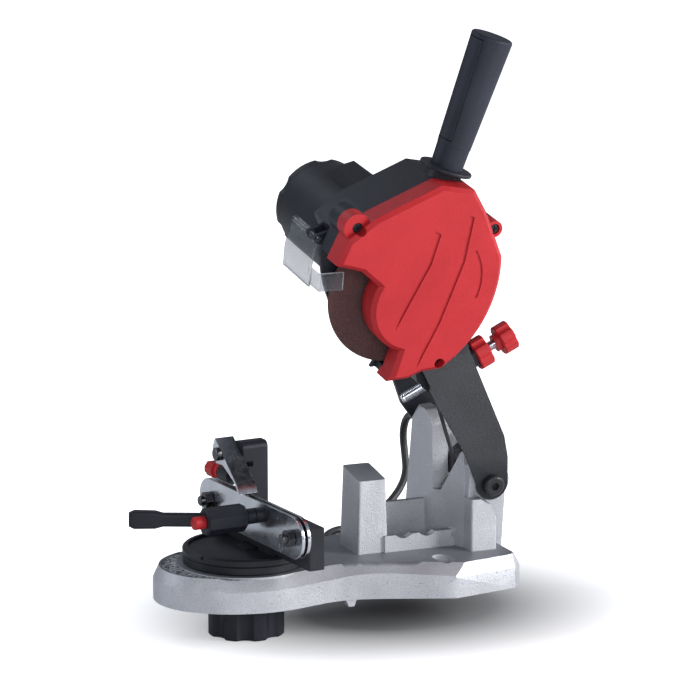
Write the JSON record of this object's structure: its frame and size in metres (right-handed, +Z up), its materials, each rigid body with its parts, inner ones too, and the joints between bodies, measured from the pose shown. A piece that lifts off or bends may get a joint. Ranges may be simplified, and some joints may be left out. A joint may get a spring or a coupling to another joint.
{
  "type": "electric chainsaw sharpener",
  "caption": "Bench-mounted electric chain grinder: cast base with yoke, sprung tilting belt-drive head with disc, swivelling chain vise, stop screw and mains lead.",
  "frame": {"origin": "midway between the two bench slots, on the underside of the base", "axes": "+Z up, +X towards the pivot end of the base, -Y towards the operator"},
  "size_m": [0.3133, 0.2878, 0.4646],
  "materials": {
    "cast_alloy": "bare sand-cast, fine grain",
    "black_steel": "black oxide",
    "machined_steel": "turned",
    "spring_steel": "oiled spring wire",
    "zinc_steel": "bright zinc plate",
    "bronze": "sintered",
    "black_enamel": "satin black enamel",
    "black_plastic": "fine moulded texture",
    "red_plastic": "satin moulded",
    "abrasive": "bonded grit",
    "clear_guard": "clear polycarbonate",
    "black_rubber": "smooth flexible"
  },
  "bodies": {
    "base": {"base_casting": "cast_alloy", "pivot_bolt": "black_steel", "pivot_nut": "black_steel", "pivot_spacer": "machined_steel", "return_spring": "spring_steel", "cord_boot": "black_rubber", "power_cord": "black_rubber", "cord_coil": "black_rubber", "cord_plug": "black_plastic"},
    "turntable": {"turntable": "black_enamel", "turntable_stud": "black_steel", "vise_support": "black_enamel", "fixed_rail": "zinc_steel", "rail_bolts": "black_steel", "clamp_spindle": "black_steel", "pawl_bracket": "black_plastic", "pawl_pin": "black_steel"},
    "clamp_knob": {"clamp_knob": "black_plastic"},
    "rail": {"moving_rail": "zinc_steel"},
    "lever": {"clamp_lever": "black_plastic"},
    "button": {"lever_button": "red_plastic"},
    "pawl": {"chain_pawl": "zinc_steel"},
    "feed_screw": {"feed_screw": "zinc_steel"},
    "feed_knob": {"feed_knob": "red_plastic"},
    "arm": {"swing_arm": "black_enamel", "pivot_bushes": "bronze", "spring_arm_leg": "spring_steel", "limit_bush": "black_enamel", "head_housing": "black_plastic", "wheel_cover": "red_plastic", "cover_screws": "black_steel", "motor_plate": "black_plastic", "spindle_bearings": "machined_steel", "motor_bearings": "machined_steel", "motor_housing": "black_plastic", "terminal_box": "black_plastic", "motor_end_cap": "black_plastic", "motor_stator": "machined_steel", "brush_holders": "bronze", "drive_belt": "black_rubber", "handle_collar": "black_plastic", "handle_grip": "black_plastic", "handle_stud": "black_steel", "guard_pin": "machined_steel"},
    "limit_screw": {"limit_screw": "zinc_steel"},
    "limit_knob": {"limit_knob": "red_plastic"},
    "lock_knob": {"lock_knob": "red_plastic"},
    "rotor": {"motor_rotor": "machined_steel", "motor_pulley": "black_plastic"},
    "spindle": {"disc_spindle": "machined_steel", "spindle_pulley": "black_plastic", "disc_flanges": "machined_steel", "disc_nut": "machined_steel", "grinding_disc": "abrasive"},
    "guard": {"spark_guard": "clear_guard"},
    "paddle": {"switch_paddle": "black_plastic"}
  },
  "joints": [
    {"name": "arm_swing", "type": "hinge", "parent": "base", "child": "arm", "pos_m": [0.047, -0.01007, 0.08312], "axis": [0, -0.9848, -0.1736], "range_deg": [0, 41], "stiffness_Nm_per_rad": 4, "springref_deg": -51.57},
    {"name": "limit_travel", "type": "slide", "parent": "arm", "child": "limit_screw", "axis": [0.8841, -0.0811, 0.4602], "range_m": [0, 0.01]},
    {"name": "limit_turn", "type": "hinge", "parent": "limit_screw", "child": "limit_knob", "pos_m": [0.067, -0.02046, 0.18811], "axis": [0.8841, -0.0811, 0.4602], "range_deg": [0, 2880.2]},
    {"name": "lock_turn", "type": "hinge", "parent": "arm", "child": "lock_knob", "pos_m": [0.04701, -0.01863, 0.1777], "axis": [0.8841, -0.0811, 0.4602], "range_deg": [0, 90]},
    {"name": "motor_spin", "type": "hinge", "parent": "arm", "child": "rotor", "pos_m": [-0.034, 0.04852, 0.26912], "axis": [0, 0.9848, 0.1736], "continuous": true},
    {"name": "spindle_spin", "type": "hinge", "parent": "arm", "child": "spindle", "pos_m": [-0.032, -0.03004, 0.2309], "axis": [0, 0.9848, 0.1736], "continuous": true},
    {"name": "guard_tilt", "type": "hinge", "parent": "arm", "child": "guard", "pos_m": [-0.09, -0.00402, 0.27915], "axis": [0, 0.9848, 0.1736], "range_deg": [0, 25]},
    {"name": "paddle_press", "type": "slide", "parent": "arm", "child": "paddle", "axis": [0.9313, 0.2855, -0.2262], "range_m": [0, 0.0012], "stiffness_N_per_m": 1200, "springref_m": -0.001},
    {"name": "table_swivel", "type": "hinge", "parent": "base", "child": "turntable", "pos_m": [-0.142, 0, 0.026], "axis": [0, 0, 1], "range_deg": [-41, 29]},
    {"name": "clamp_knob_turn", "type": "hinge", "parent": "turntable", "child": "clamp_knob", "pos_m": [-0.142, 0, -0.014], "axis": [0, 0, 1], "range_deg": [0, 360]},
    {"name": "rail_clamp", "type": "slide", "parent": "turntable", "child": "rail", "axis": [0.9945, 0.1045, 0], "range_m": [0, 0.0012]},
    {"name": "lever_turn", "type": "hinge", "parent": "rail", "child": "lever", "pos_m": [-0.16875, -0.02292, 0.066], "axis": [0.9945, 0.1045, 0], "range_deg": [0, 90.1]},
    {"name": "button_press", "type": "slide", "parent": "lever", "child": "button", "axis": [0.9945, 0.1045, 0], "range_m": [0, 0.0025], "stiffness_N_per_m": 600, "springref_m": -0.001},
    {"name": "pawl_lift", "type": "hinge", "parent": "turntable", "child": "pawl", "pos_m": [-0.14493, 0.02785, 0.105], "axis": [0.9945, 0.1045, 0], "range_deg": [-60, 0]},
    {"name": "feed_travel", "type": "slide", "parent": "turntable", "child": "feed_screw", "axis": [-0.1045, 0.9945, 0], "range_m": [0, 0.008]},
    {"name": "feed_turn", "type": "hinge", "parent": "feed_screw", "child": "feed_knob", "pos_m": [-0.14686, 0.04625, 0.088], "axis": [-0.1045, 0.9945, 0], "range_deg": [0, 2880.2]}
  ],
  "couplings": [
    {"joint": "limit_turn", "follows": "limit_travel", "rad_per_m": 5026.5},
    {"joint": "spindle_spin", "follows": "motor_spin", "ratio": 0.5},
    {"joint": "lever_turn", "follows": "rail_clamp", "rad_per_m": 1309},
    {"joint": "feed_turn", "follows": "feed_travel", "rad_per_m": 6283.2}
  ]
}
